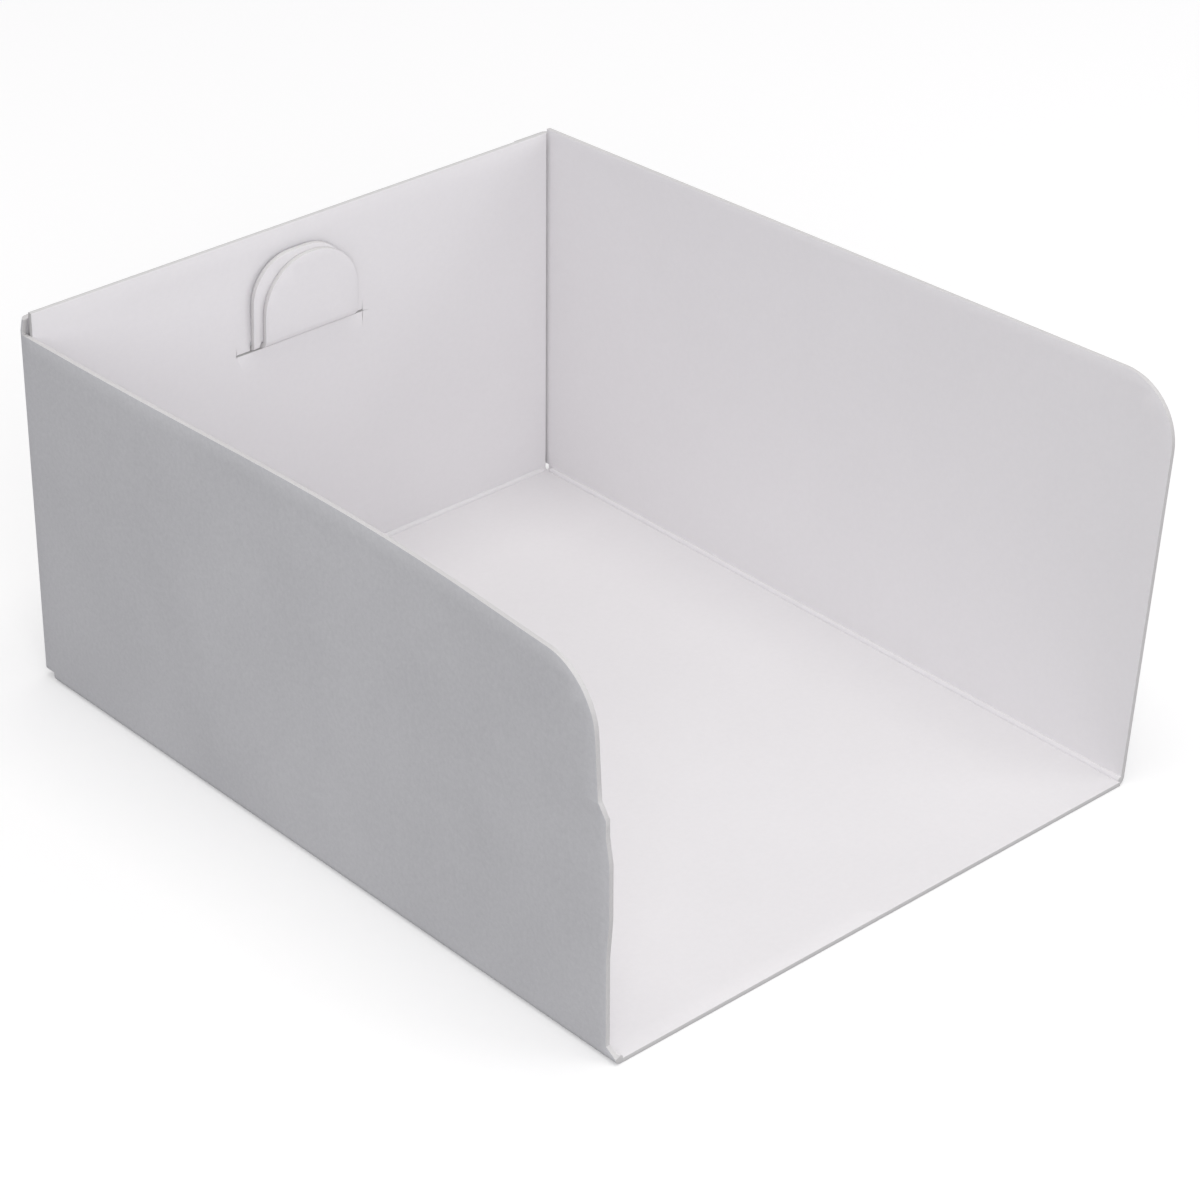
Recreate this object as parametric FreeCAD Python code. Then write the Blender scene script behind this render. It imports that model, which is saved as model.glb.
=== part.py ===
import FreeCAD, Part
import math
import os

# An open-fronted tray box, folded from one die-cut sheet of white board.
# The base rests on z = 0, the closed back is at +Y and the open front faces -Y.
# The origin is the middle of the underside of the base. All sizes are in millimetres.

# The sheet
board = 1.2                 # thickness of the board
layer_gap = 0.15            # air between sheets that lie on each other
fold_radius = 0.5           # inside radius of a fold
bead_radius = 0.8           # ridge that the creasing rule leaves inside a fold

# The base and the walls. Heights are measured from the underside of the base.
inner_width = 160.0         # between the side walls, at the base
base_length = 203.2         # front edge of the base to the inside of the back panel
back_height = 99.1
back_end_gap = 0.6          # from the foot of the back panel's ends to the side walls
back_left_gap_top = 0.2     # and at its top corners
back_right_gap_top = 0.8
right_stand = 0.6           # the right wall's top stands this far above the back panel's
right_rise = 2.3            # and rises by this much to the front
right_setback = 0.4         # from the front edge of the base to the wall's front edge
right_flare = 7.8           # how far the wall's top leans out at the front
right_corner_round = 16.0   # the wall's front top corner
left_drop = 5.8             # the left wall's level top lies this far under the back panel's
left_flare = 1.2
left_bow = 3.15             # how far the wall's top bends in, before half way from the front
left_corner_round = 14.0

# The left wall's front edge slants back from the base's corner to its foot, comes forward
# a little on the way up, bends back, has a small jog and slants back to the rounded corner.
left_foot_setback = 3.0     # from the front edge of the base to the foot
left_foot_height = 3.5      # the foot's lower and upper end
left_foot_top = 26.0
left_setback = 2.1          # from the front edge of the base to the straight stretch
left_setback_height = 36.0
left_bend_height = 50.0
left_bend_rise = 6.5
left_bend_depth = 1.1
left_step_height = 60.5
left_step_rise = 3.5
left_step_depth = 2.4
left_slant_depth = 1.8

# The slot in the back panel
slot_left = -21.8
slot_right = 17.8
slot_lip = 68.3             # height of the slot's lower lip
slot_end_height = 0.6
window_round = 1.0          # corners of the taller middle of the slot, behind the tongues

# The two flaps behind the back panel, each with a tongue that comes in through the slot
flap_bottom = 2.5
flap_shoulder = 9.0         # level stretch of the flap's top edge, next to its fold
flap_reach = 9.0            # how far the flap goes on past its tongue
flap_round = 8.0
root_depth = 3.4            # from the slot's lip down to the flap's top edge
root_width = 5.0            # level stretch of the flap's top edge, next to its tongue
tongue_width = 28.7
tongue_turn = 75.0          # degrees that a tongue turns to pass through the slot
tongue_radius = 0.15        # inside radius of a tongue's bends, which lie tight round the slot's lips
tongue_lean = 2.5           # degrees that it leans away from the panel above the slot
slot_clearance = 0.3        # from a tongue's side to the edge of the slot
right_flap_drop = 0.6       # from the back panel's top down to the flap's top
right_tongue_middle = -0.2
right_tongue_height = 23.5  # above the slot's lip
right_tongue_round = 13.9
left_flap_drop = 1.7
left_tongue_middle = -2.9
left_tongue_height = 24.8
left_tongue_round = 11.8

# Places that follow from the sizes
pitch = board + layer_gap
half_width = inner_width / 2
half_tongue = tongue_width / 2
front = -base_length / 2
back = base_length / 2
fold_top = board + fold_radius
right_back_height = back_height + right_stand
right_front_height = right_back_height + right_rise
left_height = back_height - left_drop
blank_top = max(right_front_height, left_height, back_height) + board
right_layer = 1             # the right flap lies next to the back panel
left_layer = 2              # the left flap lies behind the right one
far = inner_width           # reach of a cutting tool

# The bends of the tongues. The first turns round the lower lip, the second round the upper one.
turn = math.radians(tongue_turn)
lean = math.radians(tongue_lean)
lower_bend_y = back + pitch - tongue_radius
upper_bend_y = back - layer_gap + tongue_radius
stack = pitch + board       # both tongues together
slope_rise = (2 * tongue_radius + stack - (upper_bend_y - lower_bend_y) * math.cos(turn)) / math.sin(turn)
slot_top = slot_lip + slope_rise


def in_front_view(x, z):
    return FreeCAD.Vector(x, 0, z)


def in_side_view(y, z):
    return FreeCAD.Vector(0, y, z)


def toward(start, end):
    """The unit direction from one flat point to another."""
    length = math.dist(start, end)
    return (end[0] - start[0]) / length, (end[1] - start[1]) / length


def rounded_corner(before, corner, after, radius):
    """Start, middle and end of the arc that rounds one corner of an outline."""
    to_before = toward(corner, before)
    to_after = toward(corner, after)
    half_angle = math.acos(to_before[0] * to_after[0] + to_before[1] * to_after[1]) / 2
    inward = toward((0, 0), (to_before[0] + to_after[0], to_before[1] + to_after[1]))
    tangent = radius / math.tan(half_angle)
    depth = radius / math.sin(half_angle) - radius
    start = (corner[0] + tangent * to_before[0], corner[1] + tangent * to_before[1])
    middle = (corner[0] + depth * inward[0], corner[1] + depth * inward[1])
    end = (corner[0] + tangent * to_after[0], corner[1] + tangent * to_after[1])
    return start, middle, end


def outline_face(corners, view):
    """A flat face. Each corner is (a, b) where it is sharp, or (a, b, radius)."""
    stretches = []
    for index, corner in enumerate(corners):
        before = corners[index - 1][:2]
        after = corners[(index + 1) % len(corners)][:2]
        if len(corner) == 3:
            stretches.append(rounded_corner(before, corner[:2], after, corner[2]))
        else:
            stretches.append((corner,))
    edges = []
    for index, stretch in enumerate(stretches):
        points = [view(*point) for point in stretch]
        following = view(*stretches[(index + 1) % len(stretches)][0])
        if len(points) == 3:
            edges.append(Part.Arc(*points).toShape())
        if not points[-1].isEqual(following, 1e-6):
            edges.append(Part.makeLine(points[-1], following))
    return Part.Face(Part.Wire(edges))


def front_slab(corners, start, end):
    """An outline seen from the front, made solid from one y to another."""
    face = outline_face(corners, in_front_view)
    face.translate(FreeCAD.Vector(0, start, 0))
    return face.extrude(FreeCAD.Vector(0, end - start, 0))


def side_slab(corners, start, end):
    """An outline seen from the side, made solid from one x to another."""
    face = outline_face(corners, in_side_view)
    face.translate(FreeCAD.Vector(start, 0, 0))
    return face.extrude(FreeCAD.Vector(end - start, 0, 0))


def mirrored(shape):
    return shape.mirror(FreeCAD.Vector(), FreeCAD.Vector(1, 0, 0))


def fold(length):
    """The bend of a fold with its axis on the X axis. It joins a level sheet under the axis
    to an upright sheet on the axis's +Y side."""
    along = FreeCAD.Vector(1, 0, 0)
    outer = Part.makeCylinder(fold_top, length, FreeCAD.Vector(), along)
    inner = Part.makeCylinder(fold_radius, length, FreeCAD.Vector(), along)
    quarter = Part.makeBox(length, fold_top, fold_top, FreeCAD.Vector(0, 0, -fold_top))
    return outer.cut(inner).common(quarter)


def beaded_fold(length):
    """A fold with the crease's ridge along its inside corner."""
    offset = fold_radius - bead_radius / 4
    start = FreeCAD.Vector(0, offset, -offset)
    return fold(length).fuse(Part.makeCylinder(bead_radius, length, start, FreeCAD.Vector(1, 0, 0)))


def base():
    reach = half_width - fold_radius
    corner = FreeCAD.Vector(-reach, front, 0)
    return Part.makeBox(2 * reach, base_length - fold_radius, board, corner)


def right_base_fold(setback):
    bend = beaded_fold(base_length - setback - fold_radius)
    bend.rotate(FreeCAD.Vector(), FreeCAD.Vector(0, 0, 1), -90)
    bend.translate(FreeCAD.Vector(half_width - fold_radius, back - fold_radius, fold_top))
    return bend


def back_base_fold():
    length = inner_width - 2 * back_end_gap
    bend = beaded_fold(length)
    bend.translate(FreeCAD.Vector(-length / 2, back - fold_radius, fold_top))
    return bend


def flap_face(layer):
    """The y of the face with which a flap lies towards the back panel."""
    return back + layer * pitch


def wall_back(layer):
    """The y where a side wall ends and the fold to its flap begins."""
    return flap_face(layer) - fold_radius


def leaning_blank(layer, leans, height):
    """The right wall from its fold up, too tall as yet. Each lean is a share of the wall's
    length from the front, and how far the wall's top is displaced outwards there."""
    length = wall_back(layer) - front
    reach = (blank_top - fold_top) / (height - fold_top)

    def long_edge(x, z, scale):
        points = [FreeCAD.Vector(x + scale * out, front + share * length, z) for share, out in leans]
        if scale == 0 or len(points) == 2:
            return Part.makeLine(points[0], points[-1])
        curve = Part.BSplineCurve()
        curve.interpolate(points)
        return curve.toShape()

    def section(z, scale):
        inside = long_edge(half_width, z, scale)
        outside = long_edge(half_width + board, z, scale)
        ends = [Part.makeLine(inside.Vertexes[side].Point, outside.Vertexes[side].Point)
                for side in (0, 1)]
        return Part.Wire([inside, ends[1], outside, ends[0]])

    return Part.makeLoft([section(fold_top, 0), section(blank_top, reach)], True, True)


def wall(layer, leans, front_edge, height_back):
    """A right-hand side wall: the leaning blank, trimmed to its outline seen from the side.
    The corners of its front edge run from the foot up to the rounded top corner."""
    end = wall_back(layer)
    base_end = back - fold_radius
    outline = front_edge + [
        (end, height_back),
        (end, flap_bottom),
        (base_end, flap_bottom),
        (base_end, 0),
    ]
    height_front = front_edge[-1][1]
    return leaning_blank(layer, leans, height_front).common(side_slab(outline, 0, far))


def right_wall():
    leans = [(0, right_flare), (1, 0)]
    edge = front + right_setback
    front_edge = [(edge, 0), (edge, right_front_height, right_corner_round)]
    return wall(right_layer, leans, front_edge, right_back_height)


def left_wall():
    bow = [(0.15, 0.08), (0.3, 0.75), (0.45, 1), (0.7, 0.52)]
    leans = [(0, left_flare)] + [(share, -part * left_bow) for share, part in bow] + [(1, 0)]
    straight = front + left_setback
    bent = straight + left_bend_depth
    stepped = bent + left_step_depth
    front_edge = [
        (front, 0),
        (front, fold_top),
        (front + left_foot_setback, left_foot_height),
        (front + left_foot_setback, left_foot_top),
        (straight, left_setback_height),
        (straight, left_bend_height),
        (bent, left_bend_height + left_bend_rise),
        (bent, left_step_height),
        (stepped, left_step_height + left_step_rise),
        (stepped + left_slant_depth, left_height, left_corner_round),
    ]
    return mirrored(wall(left_layer, leans, front_edge, left_height))


def back_panel():
    """The panel that folds up from the base, with its slot. Its ends stay free."""
    foot = half_width - back_end_gap
    top_left = back_left_gap_top - half_width
    top_right = half_width - back_right_gap_top
    sheet = front_slab(
        [(-foot, fold_top), (foot, fold_top), (top_right, back_height), (top_left, back_height)],
        back, back + board)
    end_round = 0.49 * slot_end_height
    slot = [
        (slot_left, slot_lip, end_round),
        (slot_right, slot_lip, end_round),
        (slot_right, slot_lip + slot_end_height, end_round),
        (slot_left, slot_lip + slot_end_height, end_round),
    ]
    middles = (left_tongue_middle, right_tongue_middle)
    window_left = min(middles) - half_tongue - slot_clearance
    window_right = max(middles) + half_tongue + slot_clearance
    window = [
        (window_left, slot_lip),
        (window_right, slot_lip),
        (window_right, slot_top, window_round),
        (window_left, slot_top, window_round),
    ]
    for opening in (slot, window):
        sheet = sheet.cut(front_slab(opening, back - board, back + 2 * board))
    return sheet


def flap_fold(layer, height):
    """The upright fold between the left wall and its flap."""
    bend = fold(height - flap_bottom)
    bend.rotate(FreeCAD.Vector(), FreeCAD.Vector(0, 1, 0), 90)
    bend.translate(FreeCAD.Vector(fold_radius - half_width, wall_back(layer), height))
    return bend


def left_flap_sheet(layer, height, middle):
    """The flat of a flap that comes from the left; middle is its tongue's."""
    fold_end = fold_radius - half_width
    free_end = middle + half_tongue + flap_reach
    root = slot_lip - root_depth
    corners = [
        (fold_end, flap_bottom),
        (fold_end, height),
        (fold_end + flap_shoulder, height, flap_round),
        (middle - half_tongue - root_width, root, flap_round),
        (free_end, root, flap_round),
        (free_end, flap_bottom, flap_round),
    ]
    face = flap_face(layer)
    return front_slab(corners, face, face + board)


def tongue_line(depth, top):
    """One face of the tongues, seen from the side, at a depth behind the front of the stack.
    It rises behind the panel, slopes through the slot and rises again in front of the panel."""
    lower_radius = tongue_radius + depth
    upper_radius = tongue_radius + stack - depth
    half_turn = (turn + lean) / 2
    to_corner = upper_radius / math.cos((turn - lean) / 2)
    foot = (lower_bend_y + lower_radius, slot_lip - root_depth - board)
    first = (lower_bend_y + lower_radius, slot_lip + lower_radius * math.tan(turn / 2), lower_radius)
    second_y = upper_bend_y - to_corner * math.cos(half_turn)
    second_z = slot_top - to_corner * math.sin(half_turn)
    rise = top + board - second_z
    end = (second_y - rise * math.tan(lean), top + board)
    return [foot, first, (second_y, second_z, upper_radius), end]


def tongue(layer, middle, top, rounding):
    """A tongue with its domed outline."""
    depth = (layer - 1) * pitch
    section = tongue_line(depth, top) + tongue_line(depth + board, top)[::-1]
    strip = side_slab(section, middle - tongue_width, middle + tongue_width)
    root = slot_lip - root_depth - board
    corner_radius = min(rounding, 0.498 * tongue_width)
    dome = [
        (middle - half_tongue, root),
        (middle + half_tongue, root),
        (middle + half_tongue, top, corner_radius),
        (middle - half_tongue, top, corner_radius),
    ]
    return strip.common(front_slab(dome, back - far, back + far))


def tray():
    """The whole folded sheet as one solid."""
    left_flap_height = back_height - left_flap_drop
    right_flap_height = back_height - right_flap_drop
    left_tongue_top = slot_lip + left_tongue_height
    right_tongue_top = slot_lip + right_tongue_height
    pieces = [
        right_base_fold(right_setback),
        mirrored(right_base_fold(0)),
        back_base_fold(),
        right_wall(),
        left_wall(),
        back_panel(),
        flap_fold(left_layer, left_flap_height),
        left_flap_sheet(left_layer, left_flap_height, left_tongue_middle),
        tongue(left_layer, left_tongue_middle, left_tongue_top, left_tongue_round),
        mirrored(flap_fold(right_layer, right_flap_height)),
        mirrored(left_flap_sheet(right_layer, right_flap_height, -right_tongue_middle)),
        tongue(right_layer, right_tongue_middle, right_tongue_top, right_tongue_round),
    ]
    return base().multiFuse(pieces).removeSplitter().Solids[0]


os.makedirs("parts", exist_ok=True)
tray_box = tray()
tray_box.exportStep("parts/tray_box.step")
area = tray_box.Volume / board
print(f"tray_box: valid {tray_box.isValid()}, board {area / 100:.0f} cm2, {len(tray_box.Faces)} faces")
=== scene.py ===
# %% [markdown]
# # A tray box folded from one sheet of board
#
# The real object is a bakery tray: one die-cut sheet of white board, creased and folded into
# a base, two side walls and a back panel. Two flaps behind the back panel end in tongues that
# come in through a slot, and these lock the tray without glue.
#
# The lesson follows the maker. It lays down the base, folds up the panels, cuts the slot, pushes
# the tongues through, and only then gives the sheet its thickness. That way every cut edge and
# every fold has the same 1.2 mm of board in it, as the real sheet has.

import bmesh
import bpy
import math
from mathutils import Matrix, Vector


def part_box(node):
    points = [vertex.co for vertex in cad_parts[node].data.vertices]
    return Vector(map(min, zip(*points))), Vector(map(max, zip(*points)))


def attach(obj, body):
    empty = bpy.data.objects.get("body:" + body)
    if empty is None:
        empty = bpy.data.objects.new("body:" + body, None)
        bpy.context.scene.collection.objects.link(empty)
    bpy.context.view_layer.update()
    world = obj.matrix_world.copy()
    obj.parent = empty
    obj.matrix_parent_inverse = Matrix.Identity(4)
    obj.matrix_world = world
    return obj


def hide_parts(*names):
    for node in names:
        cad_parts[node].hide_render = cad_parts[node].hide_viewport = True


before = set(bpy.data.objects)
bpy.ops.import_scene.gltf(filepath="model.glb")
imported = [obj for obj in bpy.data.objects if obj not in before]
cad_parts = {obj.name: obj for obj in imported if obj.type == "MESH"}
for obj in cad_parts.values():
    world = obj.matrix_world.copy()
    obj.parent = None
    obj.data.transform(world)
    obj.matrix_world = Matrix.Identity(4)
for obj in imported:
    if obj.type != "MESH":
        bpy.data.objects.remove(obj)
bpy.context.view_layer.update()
low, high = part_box("tray_box")
print("packed nodes:", sorted(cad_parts))
print("box of the tray in metres:", [round(value, 4) for value in (*low, *high)])

# %% [markdown]
# ## The sizes of the sheet
#
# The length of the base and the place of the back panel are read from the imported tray, because
# the finished piece has to lie exactly where it lies. The rest is what a maker would write on
# the drawing of the blank: the board, the radius of a fold and the width of the base. The heights
# follow with their panels.

# %% Sizes of the sheet, in metres
mm = 0.001
tiny = 0.002 * mm                    # two places closer than this are the same place
board = 1.2 * mm                     # the sheet's thickness
layer_gap = 0.15 * mm                # air between sheets that lie on each other
pitch = board + layer_gap            # from one such sheet to the next
fold_radius = 0.5 * mm               # on the inside of a fold
fold_top = board + fold_radius       # the height where a bend up from the base ends
fold_steps = 6                       # faces round a fold
half_width = 80 * mm                 # from the middle to the inside of a side wall
reach = half_width - fold_radius     # where the base ends and a side fold begins
front = low.y
back = high.y - 2 * pitch - board    # the inside of the back panel
base_end = back - fold_radius        # where the base ends and the back fold begins
print("base:", round(2 * half_width / mm, 1), "x", round((back - front) / mm, 1), "mm")

# %% [markdown]
# ## Picking by place
#
# By hand you would click on an edge and pull it. In a script the clicks become a rule on places:
# `pick` selects every vertex, edge or face that lies wholly where the rule says. `move` shifts
# what is picked, and `rule_line` draws a line across the faces that a rule picks, as a pencil would.

# %% Helpers for picking, moving and ruling
axes = {"x": Vector((1, 0, 0)), "y": Vector((0, 1, 0)), "z": Vector((0, 0, 1))}


def near(a, b):
    return abs(a - b) < tiny


def everywhere(p):
    return True


def pick(rule, mode="EDGE"):
    """Selects what lies wholly where rule(point) is true, and says how much that is."""
    bpy.ops.mesh.select_mode(type="VERT")
    bpy.ops.mesh.select_all(action="DESELECT")
    shape = bmesh.from_edit_mesh(bpy.context.edit_object.data)
    for vertex in shape.verts:
        vertex.select_set(bool(rule(vertex.co)))
    shape.select_flush_mode()
    bmesh.update_edit_mesh(bpy.context.edit_object.data)
    if mode == "VERT":
        return sum(vertex.select for vertex in shape.verts)
    bpy.ops.mesh.select_mode(type=mode)
    shape = bmesh.from_edit_mesh(bpy.context.edit_object.data)
    return sum(item.select for item in (shape.edges if mode == "EDGE" else shape.faces))


def move(x=0, y=0, z=0):
    bpy.ops.transform.translate(value=(x, y, z))


def rule_line(axis, place, rule):
    """Cuts a line at one place on an axis across the faces that the rule picks."""
    pick(rule, "FACE")
    bpy.ops.mesh.bisect(plane_co=place * axes[axis], plane_no=axes[axis], threshold=tiny / 4)


print("places count as one within", round(tiny / mm, 4), "mm")

# %% [markdown]
# ## The base
#
# The base is the flat middle of the blank. The sheet is modelled as its inside face, 1.2 mm above
# the table, and the board's thickness is added outwards at the end. A line along the middle and
# a short one on the right mark where the right wall's front edge will stand, a hair behind the
# base's own.

# %% The base
right_setback = 0.4 * mm

bpy.ops.object.select_all(action="DESELECT")
bpy.ops.mesh.primitive_plane_add(size=1, location=(0, 0, 0))
tray = bpy.context.object
tray.name = "folded_tray"
tray.data.name = "folded_tray"
bpy.ops.object.mode_set(mode="EDIT")
bpy.ops.mesh.select_all(action="SELECT")
bpy.ops.transform.resize(value=(2 * reach, base_end - front, 1), center_override=(0, 0, 0))
move(y=(base_end + front) / 2, z=board)
rule_line("x", 0, everywhere)
rule_line("y", front + right_setback, lambda p: p.x > -tiny)
print("faces in the base:", pick(everywhere, "FACE"))

# %% [markdown]
# ## The back panel
#
# The back panel folds up from the base's rear edge. `fold_over` spins that edge round the fold's
# axis, which is just what a fold does to a sheet, and `pull` extrudes it straight up for the
# panel. Its ends stay free, a hair short of the side walls: that is the dark gap in the rear
# corners of a real tray.

# %% The back panel
back_height = 99.1 * mm
back_end_gap = 0.6 * mm                         # from the foot of its ends to the side walls
back_gap_top = {-1: 0.2 * mm, 1: 0.8 * mm}      # and at its left and right top corners


def pull(x=0, y=0, z=0):
    bpy.ops.mesh.extrude_region_move(TRANSFORM_OT_translate={"value": (x, y, z)})


def fold_over(centre, axis, degrees, steps=fold_steps):
    # Without a window the spin runs against the right-hand rule, hence the minus sign.
    bpy.ops.mesh.spin(steps=steps, angle=-math.radians(degrees), center=centre, axis=axes[axis])


def on_back(p):
    return near(p.y, back) and p.z > fold_top - tiny


pick(lambda p: near(p.y, base_end) and near(p.z, board))
fold_over((0, base_end, fold_top), "x", 90)
pull(z=back_height - fold_top)
for side in (-1, 1):
    for height, gap in ((fold_top, back_end_gap), (back_height, back_gap_top[side])):
        pick(lambda p: near(p.y, back) and near(p.z, height) and side * p.x > 0, "VERT")
        move(x=side * (half_width - gap - reach))
print("back panel:", round(back_height / mm, 1), "mm high")

# %% [markdown]
# ## The height of the slot
#
# Both tongues come in through one slot, one on the other. Each bends round the slot's lower lip,
# crosses the board on a slope and bends back round the upper lip. The slot is as high as the two
# need on that slope, so its height is worked out from their bends instead of being guessed.

# %% Work out the slot's height
slot_lip = 68.3 * mm                 # the lower lip
stack = pitch + board                # both tongues together
tongue_turn = 75                     # degrees that a tongue turns to pass through
tongue_lean = 2.5                    # degrees that it leans into the tray above the slot
tongue_radius = 0.15 * mm            # its bends lie tight round the slot's two lips
lower_bend_y = back + pitch - tongue_radius
upper_bend_y = back - layer_gap + tongue_radius
turn_sine = math.sin(math.radians(tongue_turn))
turn_cosine = math.cos(math.radians(tongue_turn))
rise = (2 * tongue_radius + stack - (upper_bend_y - lower_bend_y) * turn_cosine) / turn_sine
slot_top = slot_lip + rise
print("slot:", round(rise / mm, 2), "mm high where the tongues come through")

# %% [markdown]
# ## The slot
#
# A steel rule in the die punches the slot. It is a narrow slit with round ends, and in its middle
# there is a higher window for the tongues. A Boolean would need closed bodies, and the sheet is
# still a single open surface. So four upright lines and three level ones divide the panel into
# panes, the panes inside the slot are deleted, and its corners are rounded.

# %% Cut the slot in the back panel
slot_left, slot_right = -21.8 * mm, 17.8 * mm
window_left, window_right = -17.55 * mm, 14.45 * mm
slit_height = 0.6 * mm
slit_top = slot_lip + slit_height
slit_corner = 0.45 * slit_height     # nearly half the height, so that the ends look round
window_corner = 1 * mm
slot_corner_steps = 4


def round_corners(rule, size, steps):
    """Rounds the picked corners of an outline. The size is from the corner to the arc's start."""
    pick(rule, "VERT")
    bpy.ops.mesh.bevel(affect="VERTICES", offset=size, segments=steps, profile=0.5,
                       clamp_overlap=False)


def in_opening(left, right, top):
    """A rule for what lies on the back panel inside an opening that starts at the lower lip."""
    return lambda p: (on_back(p) and left - tiny < p.x < right + tiny
                      and slot_lip - tiny < p.z < top + tiny)


def at_ends(left, right, bottom, top):
    """A rule for the points on the back panel at both ends of an opening."""
    return lambda p: (on_back(p) and (near(p.x, left) or near(p.x, right))
                      and bottom - tiny < p.z < top + tiny)


for place in (slot_left, window_left, window_right, slot_right):
    rule_line("x", place, on_back)
for place in (slot_lip, slit_top, slot_top):
    rule_line("z", place, on_back)
for opening in ((slot_left, slot_right, slit_top), (window_left, window_right, slot_top)):
    pick(in_opening(*opening), "FACE")
    bpy.ops.mesh.delete(type="FACE")
round_corners(at_ends(slot_left, slot_right, slot_lip, slit_top), slit_corner, slot_corner_steps)
round_corners(at_ends(window_left, window_right, slot_top, slot_top), window_corner,
              slot_corner_steps)
slot_width = round((slot_right - slot_left) / mm, 1)
print("slot:", slot_width, "mm wide, lip at", round(slot_lip / mm, 1), "mm")

# %% [markdown]
# ## How a side wall is raised
#
# The walls fold up like the back panel, but they run on past it: their rear edges carry the
# flaps. Both walls have a rounded top corner. They differ only in sizes, so one function makes
# either wall, with `side` as +1 for the right one and -1 for the left one. `edge` lists heights
# on the front edge, each with how far back the edge lies there.

# %% Helpers for the side walls
flap_bottom = 2.5 * mm
right_layer, left_layer = 1, 2       # the left wall's flap lies outside the right one's
top_corner_steps = 14


def melt(rule, ends_too=False):
    """Takes the lines inside a panel away again, so that its outline is one face."""
    pick(rule, "EDGE")
    bpy.ops.mesh.dissolve_edges(use_verts=ends_too)


def on_wall(side, bottom=fold_top):
    return lambda p: near(p.x, side * half_width) and p.z > bottom - tiny


def raise_wall(side, setback, layer, back_top, front_top, corner_round, edge):
    """Folds up a side wall, trims its outline and leaves it as one face above the fold."""
    front_edge = front + setback
    flap_face = back + layer * pitch
    pick(lambda p: near(p.x, side * reach) and near(p.z, board) and p.y > front_edge - tiny)
    fold_over((side * reach, 0, fold_top), "y", -90 * side)
    pull(z=flap_bottom - fold_top)
    pull(z=back_top - flap_bottom)
    pick(lambda p: on_wall(side, flap_bottom)(p) and near(p.y, base_end))
    pull(y=flap_face - fold_radius - base_end)
    melt(lambda p: on_wall(side, flap_bottom)(p) and near(p.y, base_end), ends_too=True)
    # The last height is the wall's own top, which is a corner already.
    for height, depth in edge[:-1]:
        rule_line("z", height, on_wall(side, flap_bottom))
    for height, depth in edge:
        pick(lambda p: on_wall(side)(p) and near(p.y, front_edge) and near(p.z, height), "VERT")
        move(y=depth)
    pick(lambda p: on_wall(side)(p) and near(p.z, back_top) and p.y < 0, "VERT")
    move(z=front_top - back_top)
    round_corners(lambda p: on_wall(side)(p) and near(p.z, front_top) and p.y < 0,
                  corner_round, top_corner_steps)


print("flaps start", round(flap_bottom / mm, 1), "mm above the table")

# %% [markdown]
# ## The side walls
#
# The right wall rises a little towards the front. The left one is lower and level. Its front edge
# steps back right above the base's corner, stands nearly upright, and has a small jog higher up,
# from which it slants back to the rounded top corner.

# %% Raise the side walls
right_back_height = back_height + 0.6 * mm
right_front_height = right_back_height + 2.3 * mm
right_corner = 16 * mm
left_height = back_height - 5.8 * mm
left_corner = 14 * mm
left_edge = [
    (flap_bottom, 1.33 * mm),        # the foot
    (3.5 * mm, 3.0 * mm),
    (26 * mm, 3.0 * mm),
    (36 * mm, 2.1 * mm),             # the slight bulge
    (50 * mm, 2.1 * mm),
    (56.5 * mm, 3.2 * mm),
    (60.5 * mm, 3.2 * mm),           # the jog
    (64 * mm, 5.6 * mm),
    (left_height, 7.4 * mm),         # the slant
]

raise_wall(1, right_setback, right_layer, right_back_height, right_front_height, right_corner, [])
raise_wall(-1, 0, left_layer, left_height, left_height, left_corner, left_edge)
wall_heights = [round(height / mm, 1) for height in (right_back_height, left_height)]
print("walls at the back, right and left, in mm:", wall_heights)

# %% [markdown]
# ## How a flap is folded in
#
# A wall's rear edge is spun a quarter turn inwards and pulled along behind the back panel, one
# column after another. Moving the top of a column up or down gives the flap's outline: high at
# the fold, then down to a root on which the tongue stands. The lines between the columns are
# taken away again, all but the two below the tongue's sides.

# %% Helper for the flaps
flap_shoulder = 9 * mm               # how far the flap stays high next to its fold
flap_reach = 9 * mm                  # how far it goes on past its tongue
root_width = 5 * mm                  # the level stretch before the tongue
root = slot_lip - 3.4 * mm           # the flap's top edge next to its tongue
half_tongue = 14.35 * mm


def fold_flap(side, layer, top, wall_top, middle):
    """Folds one flap in behind the back panel. Middle is where its tongue will stand."""
    face = back + layer * pitch
    fold_start = face - fold_radius
    lowest_top = min(top, wall_top)
    if wall_top > top:
        rule_line("z", top, on_wall(side, flap_bottom))
    pick(lambda p: on_wall(side, flap_bottom)(p) and near(p.y, fold_start)
         and p.z < lowest_top + tiny)
    fold_over((side * reach, fold_start, 0), "z", 90 * side)
    # The columns of the flap, from its fold to its free end: where they stand, and their tops.
    columns = [
        (side * reach, top),
        (side * (reach - flap_shoulder), top),
        (middle + side * (half_tongue + root_width), root),
        (middle + side * half_tongue, root),
        (middle - side * half_tongue, root),
        (middle - side * (half_tongue + flap_reach), root),
    ]
    place = columns[0][0]
    for across, height in columns[1:]:
        pull(x=across - place)
        place = across
    if top > wall_top:
        pick(lambda p: near(p.z, wall_top) and p.y > fold_start - tiny
             and side * p.x > reach - flap_shoulder - tiny)
        pull(z=top - wall_top)
        melt(lambda p: near(p.z, wall_top) and near(p.y, face))
    for across, height in columns[2:]:
        pick(lambda p: near(p.y, face) and near(p.x, across) and p.z > root, "VERT")
        move(z=height - lowest_top)
    for across, height in columns[1:3]:
        melt(lambda p: near(p.y, face) and near(p.x, across))


print("flaps come down to", round(root / mm, 1), "mm next to their tongues")

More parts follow.
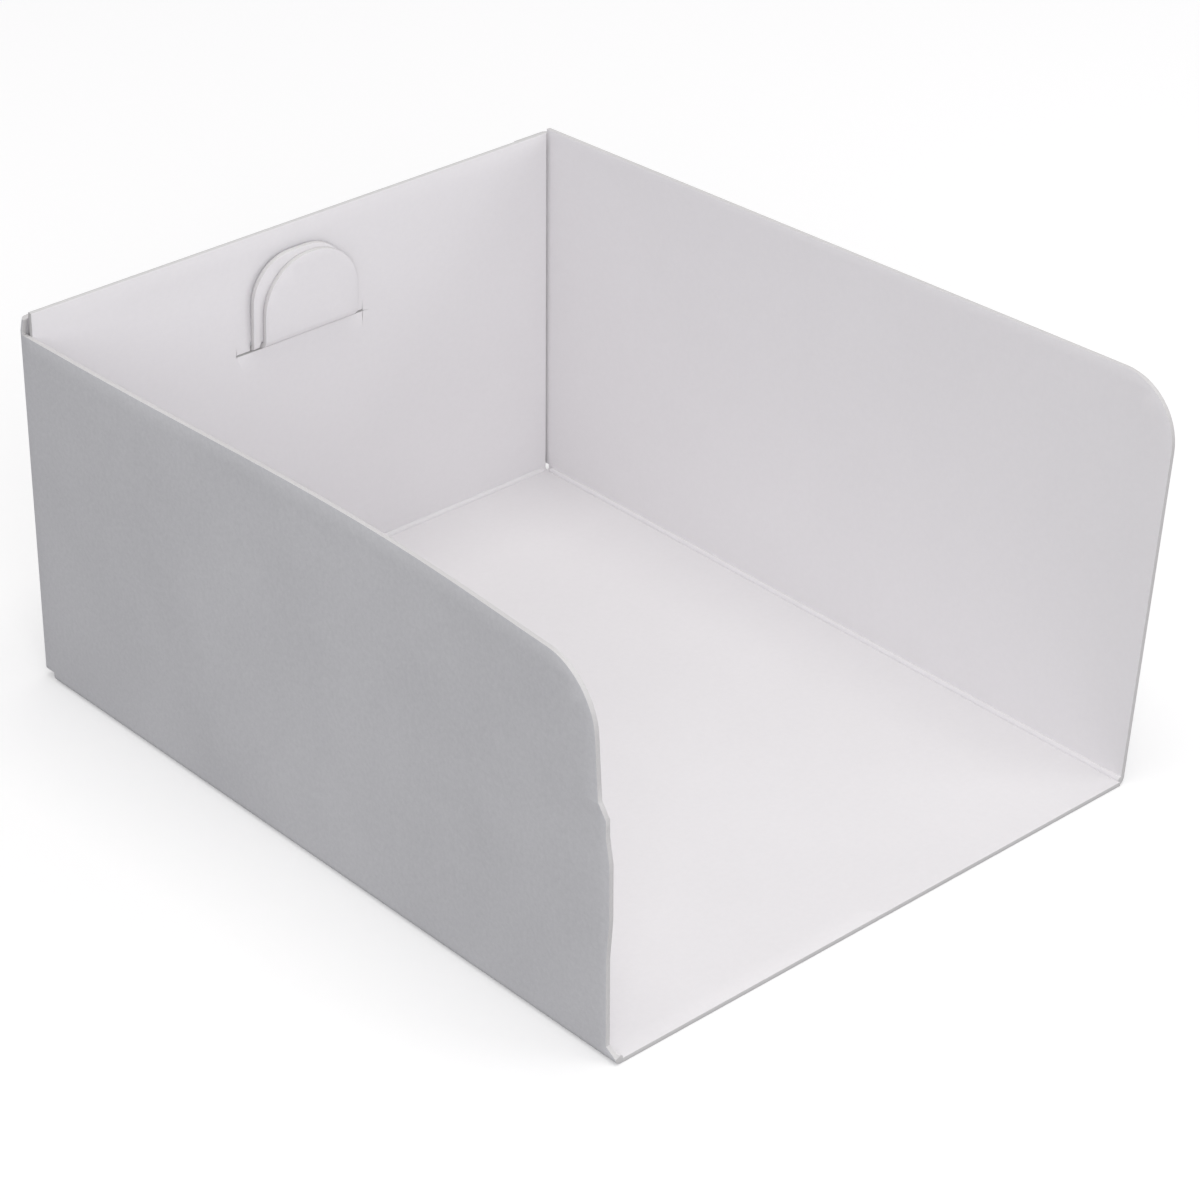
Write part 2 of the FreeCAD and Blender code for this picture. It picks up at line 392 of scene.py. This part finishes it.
# %% [markdown]
# ## How a tongue is led through the slot
#
# The tongue goes up from its root: straight behind the panel, round the slot's lower lip, through
# the slot on a slope, and round the upper lip. Its two bends are spins, like the folds. Both
# tongues turn about the same two axes, each with its own radius, so that they lie on each other
# with the same thin air between them all the way.

# %% Helper for the tongues
bend_steps = 8
tongue_corner_steps = 16


def lead_tongue(layer, middle, top, corner_round):
    """Pulls one tongue up from its flap, through the slot and up to its rounded top."""
    face = back + layer * pitch
    depth = (layer - 1) * pitch
    low_radius = tongue_radius + depth
    high_radius = tongue_radius + stack - depth
    slope_start = Vector((0, lower_bend_y + low_radius * turn_cosine,
                          slot_lip + low_radius * turn_sine))
    slope_end = Vector((0, upper_bend_y - high_radius * turn_cosine,
                        slot_top - high_radius * turn_sine))
    climb = top - slot_top
    pick(lambda p: near(p.y, face) and near(p.z, root) and abs(p.x - middle) < half_tongue + tiny)
    pull(z=slot_lip - root)
    fold_over((0, lower_bend_y, slot_lip), "x", tongue_turn, bend_steps)
    pull(*(slope_end - slope_start))
    fold_over((0, upper_bend_y, slot_top), "x", tongue_lean - tongue_turn, bend_steps)
    pull(y=-climb * math.tan(math.radians(tongue_lean)), z=climb)
    round_corners(lambda p: p.z > top - mm and abs(p.x - middle) < half_tongue + tiny
                  and p.y < back, corner_round, tongue_corner_steps)


print("tongues:", round(2 * half_tongue / mm, 1), "mm wide")

# %% [markdown]
# ## The lock
#
# The right flap goes in first and lies next to the back panel, and the left one is folded over
# it. Inside the tray the order is the other way round: the left tongue lies against the back
# panel and the right one in front of it, a little lower and further right, so that the left one
# shows as a rim along its left side and its top. The tray is closed by hand in the same order.

# %% Fold in the flaps and push the tongues through
right_middle, left_middle = -0.2 * mm, -2.9 * mm
right_reach, left_reach = 23.5 * mm, 24.8 * mm      # the tongues' tops above the slot's lip
right_tongue_corner, left_tongue_corner = 13.9 * mm, 11.8 * mm
right_flap_top, left_flap_top = back_height - 0.6 * mm, back_height - 1.7 * mm

fold_flap(1, right_layer, right_flap_top, right_back_height, right_middle)
lead_tongue(right_layer, right_middle, slot_lip + right_reach, right_tongue_corner)
fold_flap(-1, left_layer, left_flap_top, left_height, left_middle)
lead_tongue(left_layer, left_middle, slot_lip + left_reach, left_tongue_corner)
tongue_reaches = [round(height / mm, 1) for height in (right_reach, left_reach)]
print("tongues above the slot's lip, right and left, in mm:", tongue_reaches)

# %% [markdown]
# ## Panels that can bend
#
# Real board is never quite flat, and a face with corners only at its outline can't bend. So lines
# are ruled across every panel, 5 mm apart, as for a net. A few more lie close to the folds,
# where the crease's ridge will begin and end.

# %% Rule the net
net = 5 * mm
bead_radius = 0.8 * mm               # the crease's ridge, seen end on
bead_sink = 0.2 * mm                 # from the corner in to the ridge's middle
bead_foot = bead_sink + math.sqrt(bead_radius ** 2 - bead_sink ** 2)
bead_full = 2.0 * mm                 # from a rear corner: the ridge is whole up to here,
bead_gone = 1.1 * mm                 # and has died out here


def stations(start, end):
    """Evenly spaced places between two others, without those two."""
    count = round((end - start) / net)
    return [start + (end - start) * step / count for step in range(1, count)]


def on_base(p):
    return near(p.z, board) and p.y < base_end + tiny and abs(p.x) < reach + tiny


ridge_ends = [side * (half_width - away) for side in (-1, 1) for away in (bead_full, bead_gone)]
for place in stations(-reach, reach) + ridge_ends:
    rule_line("x", place, everywhere)
for place in stations(front + right_setback, base_end):
    rule_line("y", place, everywhere)
# The next two lines keep clear of the tongues, whose bends already have rows of their own there.
for place in (back - bead_full, back - bead_gone):
    rule_line("y", place, lambda p: abs(p.x) > slot_right or p.z < slot_lip)
for place in stations(flap_bottom, back_height):
    rule_line("z", place, everywhere)
for side in (-1, 1):
    rule_line("x", side * (half_width - bead_foot), on_base)
rule_line("y", back - bead_foot, on_base)
rule_line("z", board + bead_foot, everywhere)
print("faces in the net:", pick(everywhere, "FACE"))

# %% [markdown]
# ## Where the sheet gives way
#
# Two free margins don't stay where the fold would put them. Left of the right tongue there is
# nothing under the left one, so its margin sinks onto the slot's lip. And the left flap's fold
# stands free above the low wall: there it is pressed inwards, against the back panel.

# %% Let the free margins give way
margin_start, margin_end = -14.65 * mm, -15.5 * mm      # the sheet slopes down between these
margin_drop = 1.25 * mm
tongue_side = 20 * mm                # both tongues lie well within this of the middle
free_fold = -72 * mm                 # the left flap's fold lies well beyond this,
free_fold_bottom = left_height + 3 * mm      # and is pressed from here up
fold_press = 0.9 * mm


def on_left_tongue(p):
    return (not near(p.y, back) and p.z > slot_lip - tiny
            and p.y < back + 3 * pitch and abs(p.x) < tongue_side)


for place in (margin_start, margin_end):
    rule_line("x", place, on_left_tongue)
sunk = pick(lambda p: on_left_tongue(p) and p.x < margin_end + tiny
            and p.z < slot_top + tiny, "VERT")
move(z=-margin_drop)
pressed = pick(lambda p: p.x < free_fold and p.y > back + tiny and p.z > free_fold_bottom, "VERT")
move(y=-fold_press)
bpy.ops.object.mode_set(mode="OBJECT")
print("points sunk:", sunk, "and pressed:", pressed)

# %% [markdown]
# ## Walls that lean and bow
#
# A wall leans by turning about its fold. Each upright row of the net is turned by its own small
# angle, so the right wall opens out towards the front, and the free top of the left
# wall bends inwards half way along, as it does in the tray that this lesson follows. A few
# measured places are enough, with a smooth line through them for the rows in between.

# %% Lean the walls
left_bow = 3.15 * mm                 # how far the left wall's top bends in
# Each lean is a share of the wall's length from the front, and how far the top stands out there.
right_leans = [(0, 7.8 * mm), (1, 0)]
left_leans = [(0, 1.05 * mm), (0.15, -0.08 * left_bow), (0.3, -0.75 * left_bow),
              (0.45, -left_bow), (0.7, -0.52 * left_bow), (1, 0)]


def line_through(points, share):
    """The smooth line through all the (share, value) points, read off at one share."""
    total = 0
    for index, (own, value) in enumerate(points):
        others = [other for place, (other, height) in enumerate(points) if place != index]
        total += value * math.prod((share - other) / (own - other) for other in others)
    return total


def lean_wall(side, layer, leans, height):
    """Turns each upright row of a wall about the fold, and says how many rows there are."""
    length = pitch * layer + back - fold_radius - front
    pick(on_wall(side), "VERT")
    shape = bmesh.from_edit_mesh(tray.data)
    rows = sorted({round(vertex.co.y / mm, 2) * mm for vertex in shape.verts if vertex.select})
    for row in rows:
        out = line_through(leans, (row - front) / length)
        pick(lambda p: on_wall(side, fold_top + 2 * tiny)(p) and abs(p.y - row) < 3 * tiny, "VERT")
        # Without a window the rotate operator turns against the right-hand rule.
        bpy.ops.transform.rotate(value=-side * math.atan(out / (height - fold_top)),
                                 orient_axis="Y",
                                 center_override=(side * half_width, row, fold_top))
    return len(rows)


bpy.ops.object.mode_set(mode="EDIT")
rows = lean_wall(1, right_layer, right_leans, right_front_height)
rows += lean_wall(-1, left_layer, left_leans, left_height)
bpy.ops.object.mode_set(mode="OBJECT")
print("rows turned:", rows)

# %% [markdown]
# ## The thickness of the board
#
# Solidify grows the sheet outwards by 1.2 mm, at right angles to each face, so the outside of
# a fold gets a larger radius than its inside, as in real board. It also says which faces
# are the inside liner, the outside liner and the cut edge: they are three different finishes.

# %% Give the sheet its thickness
finish_names = ("inside_liner", "outside_liner", "cut_edge")
finishes = {}
for name in finish_names:
    finishes[name] = bpy.data.materials.new(name)
    tray.data.materials.append(finishes[name])
thickness = tray.modifiers.new("board", "SOLIDIFY")
thickness.thickness = board
thickness.offset = -1                # the modelled face stays where it is, as the inside
thickness.use_even_offset = True
thickness.material_offset = finish_names.index("outside_liner")
thickness.material_offset_rim = finish_names.index("cut_edge")
bpy.ops.object.modifier_apply(modifier=thickness.name)
print("faces on both sides and the edges:", len(tray.data.polygons))

# %% [markdown]
# ## The ridges inside the folds
#
# The creasing rule presses the board into a groove, and when the panel folds, the loosened
# layers bulge into the corner as a small round ridge. It is what draws the thin line along the
# foot of each wall. The rows of the inside bend are moved out, one by one, onto the ridge's round.

# %% Raise the ridges
bpy.ops.object.mode_set(mode="EDIT")


def raise_ridge(corner, inward, axis, ends):
    """Moves the rows of one inside bend onto a round. Inward points from the wall to the tray's
    middle, axis is the fold's direction, and ends are where the whole ridge starts and stops."""
    foot_angle = math.asin(bead_sink / bead_radius)
    start_angle = math.pi + foot_angle
    sweep = math.pi / 2 + 2 * foot_angle
    bend_middle = corner + fold_radius * (inward + axes["z"])
    for row in range(fold_steps + 1):
        bend = math.radians(90 * row / fold_steps)
        old = bend_middle - fold_radius * (math.sin(bend) * inward + math.cos(bend) * axes["z"])
        angle = start_angle - sweep * (row + 1) / (fold_steps + 2)
        out = bead_sink - bead_radius * math.cos(angle)
        up = bead_sink + bead_radius * math.sin(angle)
        new = corner + out * inward + up * axes["z"]
        pick(lambda p: ends[0] - tiny < p.dot(axis) < ends[1] + tiny
             and (p - old - (p - old).dot(axis) * axis).length < 3 * tiny, "VERT")
        move(*(new - old))


ridge_back = back - bead_full
ridge_side = half_width - bead_full
raise_ridge(Vector((half_width, 0, board)), -axes["x"], axes["y"],
            (front + right_setback, ridge_back))
raise_ridge(Vector((-half_width, 0, board)), axes["x"], axes["y"], (front, ridge_back))
raise_ridge(Vector((0, back, board)), -axes["y"], axes["x"], (-ridge_side, ridge_side))
print("ridge:", round(bead_foot / mm, 2), "mm wide on each side of the fold")

# %% [markdown]
# ## Softened cut edges
#
# A steel rule doesn't leave a razor-sharp edge in board: it rounds both rims by a tenth of
# a millimetre. The rims get a bevel weight, and the Bevel modifier rounds only what has one.
# Shading is then smooth wherever two faces meet at less than 38 degrees, as they do round the
# folds and the rims.

# %% Soften the cut edges
rim_round = 0.1 * mm
smooth_below = 38                    # degrees between two faces that are shaded as one

bpy.ops.mesh.select_mode(type="FACE")
bpy.ops.mesh.select_all(action="DESELECT")
tray.active_material_index = finish_names.index("cut_edge")
bpy.ops.object.material_slot_select()
bpy.ops.mesh.region_to_loop()
bpy.ops.transform.edge_bevelweight(value=1)
bpy.ops.object.mode_set(mode="OBJECT")
softening = tray.modifiers.new("soft_rims", "BEVEL")
softening.limit_method = "WEIGHT"
softening.width = rim_round
softening.segments = 2
softening.use_clamp_overlap = False
bpy.ops.object.modifier_apply(modifier=softening.name)
bpy.ops.object.shade_smooth_by_angle(angle=math.radians(smooth_below))
print("triangles:", sum(len(face.vertices) - 2 for face in tray.data.polygons))

# %% [markdown]
# ## Building with nodes
#
# A finish is a small network of nodes. `add_node` puts in one node, with its settings and the
# values on its own sockets, and `wire` draws the lines between them. The sheet's three finishes
# and the floor are all made with these two.

# %% Helpers for nodes
def add_node(tree, kind, values=None, **settings):
    """Adds a node, with values for its sockets by name or by number. The settings go first,
    because they decide which sockets the node has."""
    node = tree.nodes.new(kind)
    for name, value in settings.items():
        setattr(node, name, value)
    for socket, value in (values or {}).items():
        node.inputs[socket].default_value = value
    return node


def wire(tree, *wires):
    """Each wire is a node and its output, then a node and the input that the wire leads to."""
    for source, output, target, entry in wires:
        tree.links.new(source.outputs[output], target.inputs[entry])
    print("wires drawn:", len(wires))


# %% [markdown]
# ## Fibres in the board
#
# Board is pressed from pulp. Held to the light its grey shifts in soft clouds a few centimetres
# wide, and close to it shows a mottle about a millimetre wide and here and there a darker fibre.
# All three finishes share these effects, so they are one node group with its own sockets. The
# clouds and the mottle are noise at two scales. The flecks are the middles of Voronoi cells, and
# only a few of the cells, chosen by their own random colour, are allowed to show one.

# %% The sockets of the fibre group
fibres = bpy.data.node_groups.new("board_fibres", "ShaderNodeTree")
fibres.interface.new_socket(name="Place", in_out="INPUT", socket_type="NodeSocketVector")
for name, size in (("Mottle size", 900), ("Cloud size", 30)):
    socket = fibres.interface.new_socket(name=name, in_out="INPUT", socket_type="NodeSocketFloat")
    socket.default_value = size
for name in ("Cloud", "Mottle", "Fleck"):
    fibres.interface.new_socket(name=name, in_out="OUTPUT", socket_type="NodeSocketFloat")
print("fibre group:", [item.name for item in fibres.interface.items_tree])

# %% The nodes of the fibre group
fleck_cells = 90                     # cells in a metre
fleck_edge, fleck_core = 0.05, 0.02  # a fleck fades in between these shares of a cell
fleck_rarity = 0.93                  # the share of the cells that show no fleck

group_in = add_node(fibres, "NodeGroupInput")
group_out = add_node(fibres, "NodeGroupOutput")
cloud = add_node(fibres, "ShaderNodeTexNoise", {"Detail": 2})
mottle = add_node(fibres, "ShaderNodeTexNoise", {"Detail": 4, "Roughness": 0.7})
cells = add_node(fibres, "ShaderNodeTexVoronoi", {"Scale": fleck_cells})
spot = add_node(fibres, "ShaderNodeMapRange", {"From Min": fleck_edge, "From Max": fleck_core})
cell_colour = add_node(fibres, "ShaderNodeSeparateColor")
rare = add_node(fibres, "ShaderNodeMath", {1: fleck_rarity}, operation="GREATER_THAN")
fleck = add_node(fibres, "ShaderNodeMath", operation="MULTIPLY")
wire(fibres,
     (group_in, "Place", cloud, "Vector"),
     (group_in, "Cloud size", cloud, "Scale"),
     (group_in, "Place", mottle, "Vector"),
     (group_in, "Mottle size", mottle, "Scale"),
     (group_in, "Place", cells, "Vector"),
     (cells, "Distance", spot, "Value"),
     (cells, "Color", cell_colour, "Color"),
     (cell_colour, "Red", rare, 0),
     (spot, "Result", fleck, 0),
     (rare, "Value", fleck, 1),
     (cloud, "Fac", group_out, "Cloud"),
     (mottle, "Fac", group_out, "Mottle"),
     (fleck, "Value", group_out, "Fleck"))

# %% [markdown]
# ## Three finishes
#
# The inside of the tray is a smooth, nearly white liner and the outside a rawer, greyer one.
# A cut edge shows the fibres themselves. Each finish mixes a dark and a light tone by the clouds
# and the mottle, darkens it at the flecks, and sets how rough the surface is. They differ in
# numbers only, so one function makes all three.

# %% How a finish is made
board_gloss = 0.3
mottle_share = 0.6                   # how much of the tone follows the mottle, the rest the clouds


def board_finish(material, dark, light, mottle_size, bump, roughness, flecks=0):
    """Flecks is how much darker a fleck is, as a share of the tone under it."""
    material.use_nodes = True
    tree = material.node_tree
    shader = tree.nodes["Principled BSDF"]
    shader.inputs["Roughness"].default_value = roughness
    shader.inputs["Specular IOR Level"].default_value = board_gloss
    speck_tone = (1 - flecks, 1 - flecks, 1 - flecks, 1)
    place = add_node(tree, "ShaderNodeTexCoord")
    group = add_node(tree, "ShaderNodeGroup", {"Mottle size": mottle_size}, node_tree=fibres)
    blend = add_node(tree, "ShaderNodeMix", {"Factor": mottle_share}, data_type="FLOAT")
    tone = add_node(tree, "ShaderNodeMix", {"A": (*dark, 1), "B": (*light, 1)}, data_type="RGBA")
    specks = add_node(tree, "ShaderNodeMix", {"B": speck_tone}, data_type="RGBA",
                      blend_type="MULTIPLY")
    relief = add_node(tree, "ShaderNodeBump", {"Distance": bump, "Strength": 1})
    wire(tree,
         (place, "Object", group, "Place"),
         (group, "Cloud", blend, "A"),
         (group, "Mottle", blend, "B"),
         (blend, "Result", tone, "Factor"),
         (group, "Fleck", specks, "Factor"),
         (tone, "Result", specks, "A"),
         (specks, "Result", shader, "Base Color"),
         (group, "Mottle", relief, "Height"),
         (relief, "Normal", shader, "Normal"))


# %% Make the three finishes
board_finish(finishes["inside_liner"], dark=(0.785, 0.77, 0.785), light=(0.855, 0.84, 0.855),
             mottle_size=700, bump=0.01 * mm, roughness=0.55)
board_finish(finishes["outside_liner"], dark=(0.57, 0.57, 0.59), light=(0.83, 0.83, 0.85),
             mottle_size=900, bump=0.03 * mm, roughness=0.75, flecks=0.08)
board_finish(finishes["cut_edge"], dark=(0.58, 0.57, 0.57), light=(0.76, 0.75, 0.75),
             mottle_size=1800, bump=0.04 * mm, roughness=0.85)
print("finishes:", sorted(finishes))

# %% [markdown]
# ## The floor
#
# The floor is white paper. To the camera it glows a little, so that it stays white under lamps
# that are kept low, and for the light that bounces off it onto the tray it is a good deal greyer.
# The Light Path node tells the two apart, and the tray's shadow stays on the paper.

# %% The paper floor
floor_edge = 6
paper_roughness = 0.9
bounce_grey, seen_grey = 0.24, 0.8
paper_glow = 0.28
white = (1, 1, 1, 1)

bpy.ops.object.select_all(action="DESELECT")
bpy.ops.mesh.primitive_plane_add(size=floor_edge, location=(0, 0, 0))
floor = bpy.context.object
floor.name = "studio_floor"
paper = bpy.data.materials.new("studio_paper")
paper.use_nodes = True
paper_tree = paper.node_tree
paper_shader = paper_tree.nodes["Principled BSDF"]
paper_shader.inputs["Roughness"].default_value = paper_roughness
paper_shader.inputs["Emission Color"].default_value = white
rays = add_node(paper_tree, "ShaderNodeLightPath")
mirrored = add_node(paper_tree, "ShaderNodeMath", operation="MAXIMUM")
seen = add_node(paper_tree, "ShaderNodeMath", operation="MAXIMUM")
paper_tone = add_node(paper_tree, "ShaderNodeMix",
                      {"A": (bounce_grey, bounce_grey, bounce_grey, 1),
                       "B": (seen_grey, seen_grey, seen_grey, 1)}, data_type="RGBA")
glow = add_node(paper_tree, "ShaderNodeMath", {1: paper_glow}, operation="MULTIPLY")
wire(paper_tree,
     (rays, "Is Glossy Ray", mirrored, 0),
     (rays, "Is Transmission Ray", mirrored, 1),
     (rays, "Is Camera Ray", seen, 0),
     (mirrored, "Value", seen, 1),
     (seen, "Value", paper_tone, "Factor"),
     (paper_tone, "Result", paper_shader, "Base Color"),
     (seen, "Value", glow, 0),
     (glow, "Value", paper_shader, "Emission Strength"))
floor.data.materials.append(paper)
print("floor:", floor_edge, "m wide")

# %% [markdown]
# ## The light
#
# White board shows its shape only by shades, so the light is soft and comes from large lamps: one
# overhead and two in front, with a pale sky around them. The front left lamp is about twice as
# strong as the right one, so that panels which face different ways keep different shades.

# %% Lamps and sky
lamp_aim = (0, 0, 0.04)
warm_white = (1, 0.99, 0.93)
plain_white = (1, 1, 1)
cool_white = (0.97, 0.965, 1)
sky_strength = 0.57


def soft_light(name, place, size, power, colour):
    """A square lamp that points at the tray, with its edge in metres and its power in watts."""
    lamp = bpy.data.lights.new(name, "AREA")
    lamp.color = colour
    lamp.size = size
    lamp.energy = power
    holder = bpy.data.objects.new(name, lamp)
    bpy.context.scene.collection.objects.link(holder)
    holder.location = place
    holder.rotation_euler = (Vector(lamp_aim) - Vector(place)).to_track_quat("-Z", "Y").to_euler()
    print("lamp:", name, "at", place, "with", power, "W")


soft_light("overhead", place=(0, 0, 1.5), size=1.0, power=7.0, colour=warm_white)
soft_light("front_left", place=(-0.8, -1.1, 0.6), size=0.8, power=6.2, colour=plain_white)
soft_light("front_right", place=(0.9, -1.1, 0.6), size=0.8, power=3.2, colour=plain_white)
world = bpy.data.worlds.new("studio")
bpy.context.scene.world = world
world.use_nodes = True
sky = world.node_tree.nodes["Background"]
sky.inputs["Color"].default_value = (*cool_white, 1)
sky.inputs["Strength"].default_value = sky_strength

# %% [markdown]
# ## The camera
#
# The tray is seen from its front left corner and from above, with a long lens from about 86 cm
# away. The place, the aim and the slight roll were worked out from corners of the tray.

# %% Camera
camera_place = Vector((-501.12, -550.99, 478.69)) * mm
camera_aim = Vector((-0.5, -7.4, 40.0)) * mm
camera_roll = math.radians(0.734)
lens = bpy.data.cameras.new("camera")
lens.sensor_width = 36               # millimetres, as Blender wants them
lens.lens = 110.77
camera = bpy.data.objects.new("camera", lens)
bpy.context.scene.collection.objects.link(camera)
camera.location = camera_place
aimed = (camera_aim - camera_place).to_track_quat("-Z", "Y").to_matrix()
camera.rotation_euler = (aimed @ Matrix.Rotation(camera_roll, 3, "Z")).to_euler()
bpy.context.scene.camera = camera
bpy.context.scene.view_settings.view_transform = "Standard"
print("camera:", round((camera_aim - camera_place).length, 3), "m from the tray")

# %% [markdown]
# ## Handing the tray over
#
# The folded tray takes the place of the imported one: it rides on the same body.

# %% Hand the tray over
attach(tray, "root")
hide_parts("tray_box")
